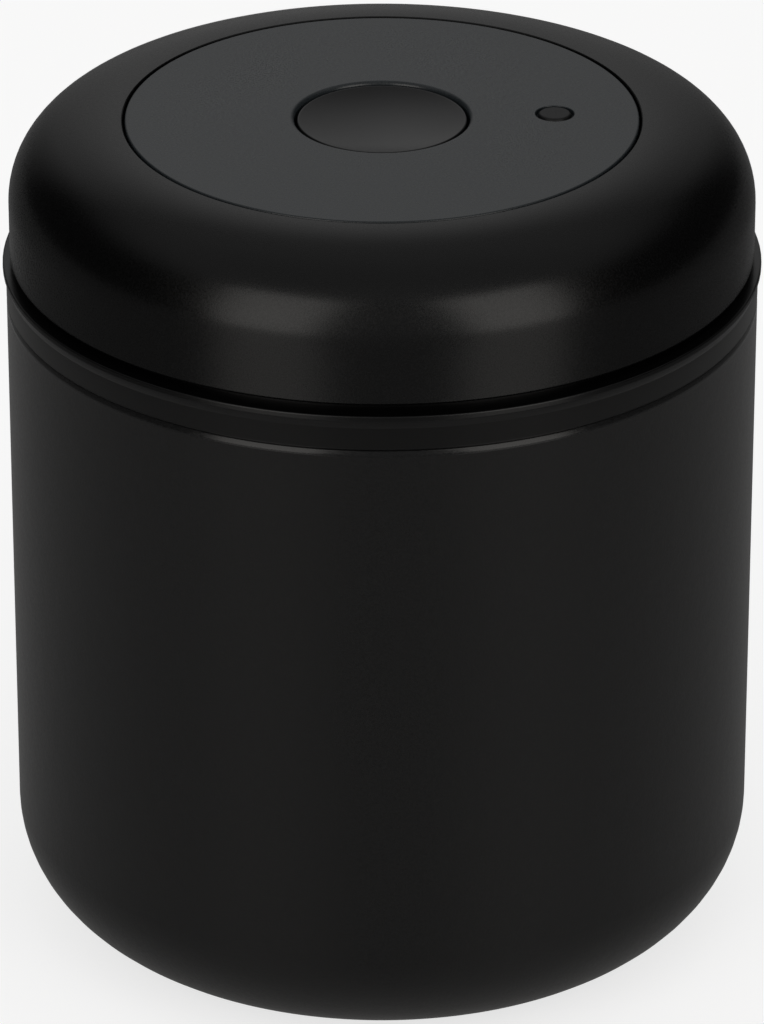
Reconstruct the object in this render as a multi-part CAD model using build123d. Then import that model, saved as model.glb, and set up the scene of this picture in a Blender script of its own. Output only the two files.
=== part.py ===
"""Coffee canister with a twist-pump lid, release button and vacuum indicator.

Millimetres, +Z up, origin at the centre of the base, front towards -Y.
The lid lifts out of the steel canister. Its dome turns about Z and, through a cam ring, drives a small
vacuum pump. The round disc, the button and the indicator dot on top stay still with the lid base.
"""
from build123d import *
from math import cos, pi, radians, sin
import os

# Clearances
running_gap = 0.3  # between faces that move past each other
seat_gap = 0.05  # round a piece pushed into its seat
thrust_gap = 0.1  # under the turning flange
soft_gap = 0.3  # beside a soft piece
overrun = 1.0  # how far a cutting shape runs past the face it opens

# Canister body, spun steel with a recessed base. Its radius follows from the disc and the dome's shoulder.
body_height = 107.7
body_wall = 1.2
body_corner = 18.8
rim_round = 0.55
foot_width = 4.0
base_recess = 1.0

# Lid base: plug, deck, outer band with a lip, and the neck behind the dark gap
band_height = 6.0
band_chamfer = 0.3
lip_reach = 0.5
lip_height = 0.8
lip_slope = 1.4
lip_round = 0.25
gap_height = 1.2
neck_wall = 1.2
neck_overlap = 2.0
plug_depth = 19.1
plug_floor = 2.5
plug_wall = 2.0
plug_round = 1.5
deck_thickness = 2.5
gasket_space = 3.6

# Main gasket between two ribs of the plug
rib_reach = 1.8
rib_height = 1.2
rib_below_rim = 13.1  # lower face of the lower rib under the canister rim
gasket_height = 5.6
gasket_body = 1.75
gasket_lip = 0.4
gasket_lip_slope = 1.1

# Dome cap, with a shoulder of two tangent arcs that ends level at the disc
dome_inset = 0.65  # dome side inside the body's side
dome_wall = 2.0
dome_edge_round = 0.6
dome_side = 8.8
shoulder_width = 18.05
shoulder_height = 13.3
shoulder_turn = 68.0  # degrees turned by the tighter lower arc
collar_wall = 2.0
ledge_reach = 3.4
ledge_thickness = 1.9
boss_radius = 3.0
boss_offset = 0.7  # free wall between the cam ring and a dome boss

# Top disc and the carrier plate under it
disc_gap = 0.4
disc_thickness = 2.5
disc_edge_round = 0.3
plate_thickness = 2.4
peg_radius = 1.5
peg_length = 1.7

# Hub frame, cam ring and glide ring
hub_wall = 3.0
hub_flange_width = 7.2
hub_flange_thickness = 2.0
hub_boss_radius = 3.2
hub_boss_height = 6.0
cam_wall = 3.5
cam_skin = 1.0  # steel left outside the groove
cam_below_groove = 3.25
cam_above_groove = 3.25
flange_thickness = 2.2
glide_width = 2.1
glide_thickness = 0.8
glide_margin = 1.0  # between the dome's bosses and the glide ring
carrier_boss_height = 10.6
carrier_boss_inset = 2.4

# Twist and pump
twist_range = 90.0  # degrees
pump_stroke = 9.0
arm_angles = (60, 180, 300)
screw_angles = (0, 120, 240)
carrier_screw_angles = (90, 210, 330)
arm_width = 8.0
arm_height = 4.0
arm_margin = 0.6  # between an arm's tip and the cam ring
slot_margin = 1.0  # above and below an arm in its slot
pin_radius = 1.95
pin_bite = 5.0  # length of a pin inside its arm

# Pump cylinder and piston
cylinder_wall = 1.8
cylinder_margin = 0.5  # of the cylinder above the crown at full stroke
cylinder_seal_height = 1.0
socket_wall = 1.55
socket_height = 4.0
crown_height = 4.0
crown_lift = 1.5  # above the plug floor with the pump at rest
rod_wall = 2.5
rod_inset = 1.7
yoke_lift = 1.0  # between the cylinder and the yoke at rest
yoke_bore_inset = 2.0
yoke_spigot = 3.0
yoke_rim = 1.0
seal_depth = 1.8
seal_height = 1.4
seal_stand_off = 0.2

# Flap valves
inlet_head_radius = 4.5
outlet_head_radius = 3.8
outlet_margin = 0.85  # between the outlet valve's head and the rod
valve_head_height = 1.0
valve_stem_radius = 0.95
valve_bulb_radius = 1.5
valve_bulb_height = 0.9
valve_port_radius = 0.8
valve_port_circle = 2.7
valve_recess_depth = 1.5
valve_port_count = 6

# Release valve: guide tube, stem, poppet and button
stem_radius = 3.0
stem_neck_radius = 2.0
stem_neck_length = 2.7
stem_flange_radius = 5.5
stem_flange_height = 1.2
guide_bore_gap = 1.2
guide_wall = 2.3
guide_height = 21.5
poppet_radius = 7.0
poppet_height = 2.0
button_travel = 3.0
button_radius = 13.35
button_recess = 0.3
button_skirt = 8.2
button_wall = 1.35
button_crown = 1.5
button_dish = 1.6
button_rim = 1.1
button_round = 0.35
button_boss_wall = 2.2
well_wall = 1.75
well_floor = 1.5
well_clearance = 1.5  # between the yoke at full stroke and the well floor
button_spring_radius = 7.0
button_spring_wire = 0.9
button_spring_turns = 6

# Vacuum indicator
indicator_pin_radius = 2.6
indicator_hole_gap = 0.45
indicator_proud = 0.1
indicator_travel = 2.0
sleeve_wall = 0.95
sleeve_lip = 0.8
chamber_wall = 1.2
chamber_depth = 11.5
pin_foot_radius = 4.0
pin_foot_height = 1.5
cup_wall = 0.95
cup_overlap = 3.5
cup_slack = 1.5  # space left for the closed spring with the dot down
cup_depth = indicator_travel + cup_slack
cup_floor = 1.5
cup_margin = 0.4  # between the cup and the hub wall
diaphragm_thickness = 0.6
nipple_radius = 1.7
nipple_bore = 0.8
nipple_length = 5.0
tube_wall = 1.15
tube_margin = 0.2
indicator_spring_radius = 3.0
indicator_spring_wire = 0.5
indicator_spring_turns = 2

# Filter under the plug
filter_ring_margin = 1.2  # between the tube's nipple and the ring
filter_ring_wall = 1.5
filter_ring_height = 4.0
cover_wall = 1.45
cover_floor = 2.0
filter_thickness = 0.6
filter_margin = 1.4  # between the filter and the stem with the button down
valve_depth = soft_gap + poppet_height + stem_flange_height + button_travel
cover_depth = valve_depth + filter_margin + filter_thickness + cover_floor
cover_hole_radius = 1.3
cover_hole_pitch = 4.8
cover_hole_rings = 5
holes_per_ring_step = 6
cover_round = 1.2

# Screws
screw_radius = 1.1
screw_head_radius = 2.2
screw_head_height = 1.3
screw_length = 8.0
screw_bottom_gap = 0.6
drive_radius = 1.0
drive_depth = 0.7

# Radii of the pump, worked out from the stem outwards
guide_bore = stem_radius + guide_bore_gap
guide_radius = guide_bore + guide_wall
crown_bore = guide_radius + running_gap
outlet_circle = crown_bore + outlet_margin + outlet_head_radius
rod_inner = outlet_circle + outlet_head_radius + outlet_margin
rod_radius = rod_inner + rod_wall
crown_radius = rod_radius + rod_inset
pump_bore = crown_radius + running_gap
inlet_circle = (guide_radius + pump_bore) / 2
cylinder_radius = pump_bore + cylinder_wall
socket_radius = cylinder_radius + seat_gap + socket_wall

# Radii of the indicator, the hub and the disc around the pump
tube_radius = nipple_radius + seat_gap + tube_wall
indicator_circle = socket_radius + tube_margin + tube_radius
indicator_hole = indicator_pin_radius + indicator_hole_gap
sleeve_radius = indicator_hole + sleeve_wall
chamber_radius = pin_foot_radius + running_gap + chamber_wall
cup_radius = chamber_radius + seat_gap + cup_wall
button_hole = button_radius + disc_gap
well_radius = button_hole + well_wall
hub_inner = indicator_circle + cup_radius + cup_margin
hub_radius = hub_inner + hub_wall
peg_circle = (well_radius + hub_inner) / 2
carrier_screw_circle = hub_inner - carrier_boss_inset
hub_screw_circle = hub_radius + hub_flange_width / 2
dome_opening = hub_radius + running_gap + ledge_reach
disc_radius = dome_opening - disc_gap
collar_radius = dome_opening + collar_wall

# Radii of the dome and the canister, from the disc outwards
dome_radius = dome_opening + shoulder_width
body_radius = dome_radius + dome_inset
body_inner = body_radius - body_wall
foot_radius = body_radius - body_corner
plug_radius = body_inner - gasket_space
plug_inner = plug_radius - plug_wall

# Radii inside the dome, from its wall inwards to the cam ring
dome_inner = dome_radius - dome_wall
neck_radius = dome_inner - running_gap
neck_inner = neck_radius - neck_wall
flange_radius = neck_inner - running_gap
dome_screw_circle = flange_radius - glide_width - glide_margin - boss_radius
cam_radius = dome_screw_circle - boss_radius - boss_offset
cam_inner = cam_radius - cam_wall
arm_tip = cam_inner - arm_margin
groove_radius = cam_radius - cam_skin
pin_tip = groove_radius - running_gap
groove_half_width = pin_radius + running_gap

# Radii of the filter under the plug
filter_ring_radius = indicator_circle + nipple_radius + filter_ring_margin + filter_ring_wall
cover_inner = filter_ring_radius + seat_gap
cover_radius = cover_inner + cover_wall

# Heights worked out from the canister rim and the top
rim_z = body_height
band_top = rim_z + band_height
dome_bottom = band_top + gap_height
shoulder_z = dome_bottom + dome_side
top_z = shoulder_z + shoulder_height
disc_bottom = top_z - disc_thickness
plate_bottom = disc_bottom - plate_thickness
ledge_top = plate_bottom - running_gap
ledge_bottom = ledge_top - ledge_thickness
deck_top = rim_z + deck_thickness
glide_top = deck_top + glide_thickness
flange_bottom = glide_top + thrust_gap
flange_top = flange_bottom + flange_thickness
plug_bottom = rim_z - plug_depth
floor_top = plug_bottom + plug_floor
crown_bottom = floor_top + crown_lift
crown_top = crown_bottom + crown_height
cylinder_bottom = floor_top + cylinder_seal_height
cylinder_top = crown_top + pump_stroke + cylinder_margin
rod_top = cylinder_top + yoke_lift
yoke_top = rod_top + arm_height
pin_z = rod_top + arm_height / 2
cam_bottom = pin_z - groove_half_width - cam_below_groove
cam_top = pin_z + pump_stroke + groove_half_width + cam_above_groove
well_bottom = yoke_top + pump_stroke + well_clearance
well_top = well_bottom + well_floor
hub_flange_z = floor_top + hub_boss_height
guide_top = floor_top + guide_height
button_top = top_z - button_recess
button_underside = button_top - button_dish - button_crown
poppet_top = plug_bottom - soft_gap
poppet_bottom = poppet_top - poppet_height
stem_shoulder = button_underside - stem_neck_length
chamber_bottom = plate_bottom - chamber_depth
cup_seat = chamber_bottom - diaphragm_thickness
cup_bottom = cup_seat - cup_depth - cup_floor
pin_foot_z = chamber_bottom + soft_gap
cover_bottom = plug_bottom - cover_depth


def turned(*corners):
    """Solid turned about Z from a closed outline of (radius, height) or (radius, height, rounding)."""
    points = [corner[:2] for corner in corners]
    roundings = [corner[2] if len(corner) == 3 else 0 for corner in corners]
    if any(roundings):
        outline = FilletPolyline(*points, radius=roundings, close=True)
    else:
        outline = Polyline(*points, close=True)
    return revolve(Plane.XZ * make_face(outline), Axis.Z)


def ring(inner, outer, bottom, top):
    """Plain ring round Z."""
    return turned((inner, bottom), (outer, bottom), (outer, top), (inner, top))


def post(radius, bottom, top, circle=0, angle=0):
    """Upright round post, at an angle on a circle round Z."""
    shape = Cylinder(radius, top - bottom, align=(Align.CENTER, Align.CENTER, Align.MIN))
    return Rot(0, 0, angle) * Pos(circle, 0, bottom) * shape


def posts(radius, bottom, top, circle, angles):
    """Equal posts at several angles, as one group."""
    return [post(radius, bottom, top, circle, angle) for angle in angles]


def canister_body():
    """Spun steel canister: a foot ring round a recessed base, a wide corner and a rounded rim."""
    recess_radius = foot_radius - foot_width
    return turned(
        (0, base_recess),
        (recess_radius, base_recess),
        (recess_radius, 0),
        (body_radius, 0, body_corner),
        (body_radius, body_height, rim_round),
        (body_inner, body_height, rim_round),
        (body_inner, body_wall, body_corner - body_wall),
        (recess_radius + body_wall, body_wall),
        (recess_radius + body_wall, base_recess + body_wall),
        (0, base_recess + body_wall),
    )


def lid_shell():
    """Turned part of the lid base: plug cup, deck, band with its lip, and neck."""
    return turned(
        (0, plug_bottom),
        (plug_radius, plug_bottom, plug_round),
        (plug_radius, rim_z),
        (body_radius - band_chamfer, rim_z),
        (body_radius, rim_z + band_chamfer),
        (body_radius, band_top - lip_height - lip_slope),
        (body_radius + lip_reach, band_top - lip_height),
        (body_radius + lip_reach, band_top, lip_round),
        (neck_radius, band_top),
        (neck_radius, dome_bottom + neck_overlap),
        (neck_inner, dome_bottom + neck_overlap),
        (neck_inner, deck_top),
        (plug_inner, deck_top),
        (plug_inner, floor_top),
        (0, floor_top),
    )


def valve_ports(circle, angle, bottom, top):
    """Ring of small ports round a flap valve's stem hole."""
    centre = Rot(0, 0, angle) * Pos(circle, 0, 0)
    ports = [
        centre * post(valve_port_radius, bottom, top, valve_port_circle, 360 * step / valve_port_count)
        for step in range(valve_port_count)
    ]
    return ports + [centre * post(valve_stem_radius + seat_gap, bottom, top)]


def lid_base():
    """Stationary moulding of the lid, with its bosses, sockets, ports and gasket ribs."""
    rib_z = rim_z - rib_below_rim
    upper_rib_z = rib_z + rib_height + gasket_height + 2 * seat_gap
    rib_radius = plug_radius + rib_reach
    shape = lid_shell()
    shape += ring(plug_inner, rib_radius, rib_z, rib_z + rib_height)
    shape += ring(plug_inner, rib_radius, upper_rib_z, upper_rib_z + rib_height)
    shape += post(guide_radius, plug_bottom, guide_top)
    shape += ring(socket_radius - socket_wall, socket_radius, plug_bottom, floor_top + socket_height)
    shape += posts(hub_boss_radius, plug_bottom, hub_flange_z, hub_screw_circle, screw_angles)
    shape += post(nipple_radius, plug_bottom, floor_top + nipple_length, indicator_circle)
    ring_bottom = plug_bottom - filter_ring_height
    shape += ring(filter_ring_radius - filter_ring_wall, filter_ring_radius, ring_bottom, floor_top)
    cuts = [post(guide_bore, plug_bottom - overrun, guide_top + overrun)]
    cuts += [post(nipple_bore, plug_bottom - overrun, floor_top + nipple_length + overrun, indicator_circle)]
    cuts += valve_ports(inlet_circle, 90, plug_bottom - overrun, floor_top + overrun)
    hole_bottom = hub_flange_z + hub_flange_thickness - screw_length - screw_bottom_gap
    hole_top = hub_flange_z + overrun
    cuts += posts(screw_radius + seat_gap, hole_bottom, hole_top, hub_screw_circle, screw_angles)
    return shape - cuts


def main_gasket():
    """Silicone gasket with two lips that wipe the canister's inner wall."""
    inner = plug_radius + seat_gap
    outer = plug_radius + gasket_body
    lip = body_inner - soft_gap
    bottom = rim_z - rib_below_rim + rib_height + seat_gap
    middle = bottom + gasket_height / 2
    top = bottom + gasket_height
    return turned(
        (inner, bottom),
        (outer, bottom),
        (lip, bottom + gasket_lip_slope),
        (lip, bottom + gasket_lip_slope + gasket_lip),
        (outer, bottom + gasket_lip_slope + 2 * gasket_lip),
        (outer, middle),
        (lip, middle + gasket_lip_slope),
        (lip, middle + gasket_lip_slope + gasket_lip),
        (outer, middle + gasket_lip_slope + 2 * gasket_lip),
        (outer, top),
        (inner, top),
    )


def filter_cover():
    """Perforated cap pushed over the ring under the plug."""
    shape = turned(
        (0, cover_bottom),
        (cover_radius, cover_bottom, cover_round),
        (cover_radius, plug_bottom),
        (cover_inner, plug_bottom),
        (cover_inner, cover_bottom + cover_floor),
        (0, cover_bottom + cover_floor),
    )
    holes = [post(cover_hole_radius, cover_bottom - overrun, cover_bottom + cover_floor + overrun)]
    for step in range(1, cover_hole_rings + 1):
        count = holes_per_ring_step * step
        angles = [360 * place / count for place in range(count)]
        holes += posts(
            cover_hole_radius,
            cover_bottom - overrun,
            cover_bottom + cover_floor + overrun,
            cover_hole_pitch * step,
            angles,
        )
    return shape - holes


def filter_pad():
    """Thin filter disc that lies on the cover's floor."""
    bottom = cover_bottom + cover_floor
    return post(cover_inner - soft_gap, bottom, bottom + filter_thickness)


def glide_ring():
    """Low-friction ring on the deck, under the turning flange."""
    outer = neck_inner - soft_gap
    return ring(outer - glide_width, outer, deck_top, glide_top)


def shoulder_radii():
    """Radii of the two tangent arcs that fill the shoulder's width and height."""
    run = cos(radians(shoulder_turn))
    rise = sin(radians(shoulder_turn))
    scale = 1 - rise - run
    lower = (shoulder_width * (1 - rise) - shoulder_height * run) / scale
    upper = (shoulder_height * (1 - run) - shoulder_width * rise) / scale
    return lower, upper


def dome_blank(inset, bottom):
    """Solid under the dome's outer surface, drawn in by an inset."""
    lower, upper = shoulder_radii()
    side = dome_radius - inset
    lower_centre = (dome_radius - lower, shoulder_z)
    upper_centre = (
        lower_centre[0] + (lower - upper) * cos(radians(shoulder_turn)),
        lower_centre[1] + (lower - upper) * sin(radians(shoulder_turn)),
    )
    outline = Line((side, bottom), (side, shoulder_z))
    outline += CenterArc(lower_centre, lower - inset, 0, shoulder_turn)
    outline += CenterArc(upper_centre, upper - inset, shoulder_turn, 90 - shoulder_turn)
    outline += Polyline((dome_opening, top_z - inset), (0, top_z - inset), (0, bottom), (side, bottom))
    return revolve(Plane.XZ * make_face(outline), Axis.Z)


def dome_cap():
    """Turning outer cap of the lid, with a collar, a ledge and three screw bosses inside."""
    shape = dome_blank(0, dome_bottom)
    lower_edge = shape.edges().filter_by_position(Axis.Z, dome_bottom, dome_bottom)
    shape = fillet(lower_edge, dome_edge_round)
    shape -= dome_blank(dome_wall, dome_bottom - overrun)
    inside = ring(hub_radius + running_gap, collar_radius, ledge_bottom, ledge_top)
    inside += ring(dome_opening, collar_radius, ledge_bottom, top_z)
    inside += posts(boss_radius, flange_top, top_z, dome_screw_circle, screw_angles)
    shape += inside & dome_blank(dome_wall / 2, flange_top)
    shape -= post(dome_opening, ledge_top, top_z + overrun)
    hole_top = flange_bottom + screw_length + screw_bottom_gap
    shape -= posts(screw_radius + seat_gap, flange_top - overrun, hole_top, dome_screw_circle, screw_angles)
    return shape


def helical_groove(angle):
    """Cutter for one cam groove: a helix that rises clockwise, with round ends and an entry slot below."""
    start = Rot(0, 0, angle)
    path = Edge.make_helix(
        pitch=pump_stroke * 360 / twist_range,
        height=pump_stroke,
        radius=groove_radius - cam_wall / 2,
        lefthand=True,
    )
    section = Plane(path @ 0, x_dir=(1, 0, 0), z_dir=path % 0) * Rectangle(cam_wall, 2 * groove_half_width)
    cutter = Pos(0, 0, pin_z) * sweep(section, path=path, is_frenet=True)
    end = Rot(0, 90, 0) * Cylinder(groove_half_width, cam_wall)
    middle = groove_radius - cam_wall / 2
    cutter += Pos(middle, 0, pin_z) * end
    cutter += Rot(0, 0, -twist_range) * Pos(middle, 0, pin_z + pump_stroke) * end
    slot_height = pin_z - cam_bottom + overrun
    slot = Box(cam_wall, 2 * groove_half_width, slot_height, align=(Align.CENTER, Align.CENTER, Align.MAX))
    cutter += Pos(middle, 0, pin_z) * slot
    return start * cutter


def cam_ring():
    """Ring screwed inside the dome: three blind helical grooves, and a flange that rides the glide ring."""
    shape = turned(
        (cam_inner, cam_bottom),
        (cam_radius, cam_bottom),
        (cam_radius, flange_bottom),
        (flange_radius, flange_bottom),
        (flange_radius, flange_top),
        (cam_radius, flange_top),
        (cam_radius, cam_top),
        (cam_inner, cam_top),
    )
    for angle in arm_angles:
        shape -= helical_groove(angle)
    hole_bottom = flange_bottom - overrun
    hole_top = flange_top + overrun
    return shape - posts(screw_radius + seat_gap, hole_bottom, hole_top, dome_screw_circle, screw_angles)


def screw(circle, angle, seat, upwards=False):
    """Pan head screw with a round drive recess, its head's underside on a seat height."""
    head = post(screw_head_radius, 0, screw_head_height) + post(screw_radius, -screw_length, 0)
    head -= post(drive_radius, screw_head_height - drive_depth, screw_head_height + overrun)
    turn = Rot(180, 0, 0) if upwards else Rot(0, 0, 0)
    return Rot(0, 0, angle) * Pos(circle, 0, seat) * turn * head


def cam_screws():
    """Three screws from below through the cam ring's flange into the dome."""
    return Compound([screw(dome_screw_circle, angle, flange_bottom, True) for angle in screw_angles])


def hub_frame():
    """Upright hub, screwed to the plug floor, whose slots keep the yoke's arms from turning."""
    shape = ring(hub_inner, hub_radius, floor_top, plate_bottom)
    flange_outer = hub_radius + hub_flange_width
    shape += ring(hub_inner, flange_outer, hub_flange_z, hub_flange_z + hub_flange_thickness)
    boss_bottom = plate_bottom - carrier_boss_height
    bosses = posts(boss_radius, boss_bottom, plate_bottom, carrier_screw_circle, carrier_screw_angles)
    shape += Compound(bosses) & post(hub_radius, boss_bottom, plate_bottom)
    slot_bottom = rod_top - slot_margin
    slot_top = yoke_top + pump_stroke + slot_margin
    slot = Box(
        hub_wall + 2 * overrun,
        arm_width + 2 * running_gap,
        slot_top - slot_bottom,
        align=(Align.CENTER, Align.CENTER, Align.MIN),
    )
    cuts = [Rot(0, 0, angle) * Pos(hub_radius - hub_wall / 2, 0, slot_bottom) * slot for angle in arm_angles]
    hole_top = hub_flange_z + hub_flange_thickness + overrun
    cuts += posts(screw_radius + seat_gap, hub_flange_z - overrun, hole_top, hub_screw_circle, screw_angles)
    hole_bottom = disc_bottom - screw_head_height - screw_length - screw_bottom_gap
    cuts += posts(
        screw_radius + seat_gap,
        hole_bottom,
        plate_bottom + overrun,
        carrier_screw_circle,
        carrier_screw_angles,
    )
    return shape - cuts


def hub_screws():
    """Three screws that hold the hub's flange to the bosses of the plug floor."""
    seat = hub_flange_z + hub_flange_thickness
    return Compound([screw(hub_screw_circle, angle, seat) for angle in screw_angles])


def disc_carrier():
    """Plate screwed on the hub: it traps the dome's ledge and holds the button well and the indicator."""
    shape = post(disc_radius, plate_bottom, disc_bottom)
    shape += post(well_radius, well_bottom, disc_bottom)
    shape += post(chamber_radius, chamber_bottom, disc_bottom, indicator_circle)
    cut_top = disc_bottom + overrun
    cut_bottom = plate_bottom - overrun
    cuts = [post(button_hole, well_top, cut_top)]
    cuts += [post(stem_radius + running_gap, well_bottom - overrun, well_top + overrun)]
    pin_bore = indicator_pin_radius + running_gap
    cuts += [post(pin_bore, chamber_bottom - overrun, cut_top, indicator_circle)]
    cuts += [post(sleeve_radius + seat_gap, plate_bottom + sleeve_lip, cut_top, indicator_circle)]
    foot_top = pin_foot_z + pin_foot_height + running_gap
    cuts += [post(pin_foot_radius + running_gap, chamber_bottom - overrun, foot_top, indicator_circle)]
    cuts += posts(peg_radius + seat_gap, cut_bottom, cut_top, peg_circle, arm_angles)
    head_seat = disc_bottom - screw_head_height - seat_gap
    head = screw_head_radius + seat_gap
    circle = carrier_screw_circle
    cuts += posts(screw_radius + seat_gap, cut_bottom, cut_top, circle, carrier_screw_angles)
    cuts += posts(head, head_seat, cut_top, circle, carrier_screw_angles)
    return shape - cuts


def carrier_screws():
    """Three screws, hidden by the disc, that hold the carrier on the hub's bosses."""
    seat = disc_bottom - screw_head_height - seat_gap
    return Compound([screw(carrier_screw_circle, angle, seat) for angle in carrier_screw_angles])


def top_disc():
    """Flat round disc with the button hole, the indicator hole and three pegs."""
    shape = turned(
        (button_hole, disc_bottom),
        (disc_radius, disc_bottom),
        (disc_radius, top_z, disc_edge_round),
        (button_hole, top_z, disc_edge_round),
    )
    shape += posts(peg_radius, disc_bottom - peg_length, disc_bottom, peg_circle, arm_angles)
    sleeve_top = top_z - sleeve_lip
    shape -= post(indicator_hole, disc_bottom - overrun, top_z + overrun, indicator_circle)
    shape -= post(sleeve_radius + seat_gap, disc_bottom - overrun, sleeve_top, indicator_circle)
    return shape


def pump_cylinder():
    """Cylinder pushed into the socket ring on the plug floor."""
    return ring(pump_bore, cylinder_radius, cylinder_bottom, cylinder_top)


def cylinder_seal():
    """Flat seal under the cylinder."""
    return ring(pump_bore + seat_gap, cylinder_radius - seat_gap, floor_top, cylinder_bottom)


def pump_piston():
    """Piston with a hollow rod, two seal grooves and the outlet valve's seat."""
    shape = ring(crown_bore, crown_radius, crown_bottom, crown_top)
    shape += ring(rod_inner, rod_radius, crown_top, rod_top)
    groove_z = crown_bottom + (crown_height - seal_height) / 2 - seat_gap
    groove_top = groove_z + seal_height + 2 * seat_gap
    shape -= ring(crown_radius - seal_depth, crown_radius + overrun, groove_z, groove_top)
    shape -= ring(crown_bore - overrun, crown_bore + seal_depth, groove_z, groove_top)
    recess = post(outlet_head_radius, crown_bottom - overrun, crown_bottom + valve_recess_depth)
    cuts = [Rot(0, 0, 90) * Pos(outlet_circle, 0, 0) * recess]
    cuts += valve_ports(outlet_circle, 90, crown_bottom - overrun, crown_top + overrun)
    return shape - cuts


def piston_outer_seal():
    """Seal in the crown's outer groove."""
    bottom = crown_bottom + (crown_height - seal_height) / 2
    outer = pump_bore - seal_stand_off
    return ring(crown_radius - seal_depth + seat_gap, outer, bottom, bottom + seal_height)


def piston_inner_seal():
    """Seal in the crown's bore, round the guide tube."""
    bottom = crown_bottom + (crown_height - seal_height) / 2
    inner = guide_radius + seal_stand_off
    return ring(inner, crown_bore + seal_depth - seat_gap, bottom, bottom + seal_height)


def piston_yoke():
    """Three-armed yoke on the rod. Its arms reach through the hub's slots to the cam ring."""
    inner = rod_inner - yoke_bore_inset
    shape = ring(inner, rod_radius + yoke_rim, rod_top, yoke_top)
    shape += ring(inner, rod_inner - seat_gap, rod_top - yoke_spigot, rod_top)
    middle = (rod_inner + arm_tip) / 2
    arm = Box(arm_tip - rod_inner, arm_width, arm_height, align=(Align.CENTER, Align.CENTER, Align.MIN))
    shape += [Rot(0, 0, angle) * Pos(middle, 0, rod_top) * arm for angle in arm_angles]
    return shape - cam_pin_rods(pin_radius + seat_gap, arm_tip + overrun)


def cam_pin_rods(radius, tip):
    """Radial rods at the arms' tips, up to a tip radius."""
    length = tip - (arm_tip - pin_bite)
    rod = Rot(0, 90, 0) * Cylinder(radius, length, align=(Align.CENTER, Align.CENTER, Align.MIN))
    return [Rot(0, 0, angle) * Pos(arm_tip - pin_bite, 0, pin_z) * rod for angle in arm_angles]


def cam_pins():
    """Three steel pins that follow the cam grooves."""
    return Compound(cam_pin_rods(pin_radius, pin_tip))


def flap_valve(circle, seat, head_radius, thickness):
    """Umbrella valve: a thin head on a seat, a stem through it and a holding bulb under it."""
    shape = post(head_radius, seat, seat + valve_head_height)
    shape += post(valve_stem_radius, seat - thickness - valve_bulb_height, seat)
    shape += post(valve_bulb_radius, seat - thickness - valve_bulb_height, seat - thickness)
    return Rot(0, 0, 90) * Pos(circle, 0, 0) * shape


def inlet_valve():
    """Flap on the plug floor that lets air out of the canister into the pump."""
    return flap_valve(inlet_circle, floor_top, inlet_head_radius, plug_floor)


def exhaust_valve():
    """Flap on the piston's crown that lets the pumped air out."""
    return flap_valve(outlet_circle, crown_top, outlet_head_radius, crown_height - valve_recess_depth)


def valve_stem():
    """Stem from the button to the poppet, with a flange that carries the poppet."""
    shape = post(stem_flange_radius, poppet_bottom - stem_flange_height, poppet_bottom)
    shape += post(stem_radius, poppet_bottom, stem_shoulder)
    return shape + post(stem_neck_radius, stem_shoulder, button_underside)


def valve_poppet():
    """Soft washer that closes the release port under the plug floor."""
    return ring(stem_radius + seat_gap, poppet_radius, poppet_bottom, poppet_top)


def button_cap():
    """Round push button with a dished top, a skirt and a boss for the stem's neck."""
    shape = turned(
        (0, button_underside),
        (button_radius - button_wall, button_underside),
        (button_radius - button_wall, button_top - button_skirt),
        (button_radius, button_top - button_skirt),
        (button_radius, button_top, button_round),
        (0, button_top),
    )
    dish_reach = button_radius - button_rim
    sphere_radius = (dish_reach**2 + button_dish**2) / (2 * button_dish)
    shape -= Pos(0, 0, button_top - button_dish + sphere_radius) * Sphere(sphere_radius)
    boss = stem_neck_radius + button_boss_wall
    return shape + ring(stem_neck_radius + seat_gap, boss, stem_shoulder, button_underside)


def coil_spring(mean_radius, wire, bottom, top, turns):
    """Open coil of half-turn arcs whose joins are tangent."""
    rise = (top - bottom - wire) / (2 * turns)
    reach = (mean_radius**2 + (rise / 2) ** 2) ** 0.5
    arcs = []
    for step in range(2 * turns):
        side = 1 if step % 2 == 0 else -1
        z = bottom + wire / 2 + rise * step
        start = (side * mean_radius, 0, z)
        middle = (0, side * reach, z + rise / 2)
        end = (-side * mean_radius, 0, z + rise)
        arcs.append(Edge.make_three_point_arc(start, middle, end))
    path = Wire(arcs)
    section = Plane(path @ 0, z_dir=path % 0) * Circle(wire / 2)
    spring = sweep(section, path=path)
    print("spring", mean_radius, "gap between turns", round(2 * rise - wire, 2))
    return spring


def button_spring():
    """Coil that lifts the button, between the well floor and the button's underside."""
    return coil_spring(
        button_spring_radius, button_spring_wire, well_top, button_underside, button_spring_turns
    )


def indicator_pin():
    """Indicator dot with a foot on the diaphragm."""
    shape = post(pin_foot_radius, pin_foot_z, pin_foot_z + pin_foot_height, indicator_circle)
    return shape + post(indicator_pin_radius, pin_foot_z, top_z + indicator_proud, indicator_circle)


def indicator_sleeve():
    """Green sleeve in the disc's hole, seen once the dot has dropped."""
    at_dot = Pos(indicator_circle, 0, 0)
    return at_dot * ring(indicator_hole, sleeve_radius, plate_bottom + sleeve_lip, top_z - sleeve_lip)


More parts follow.
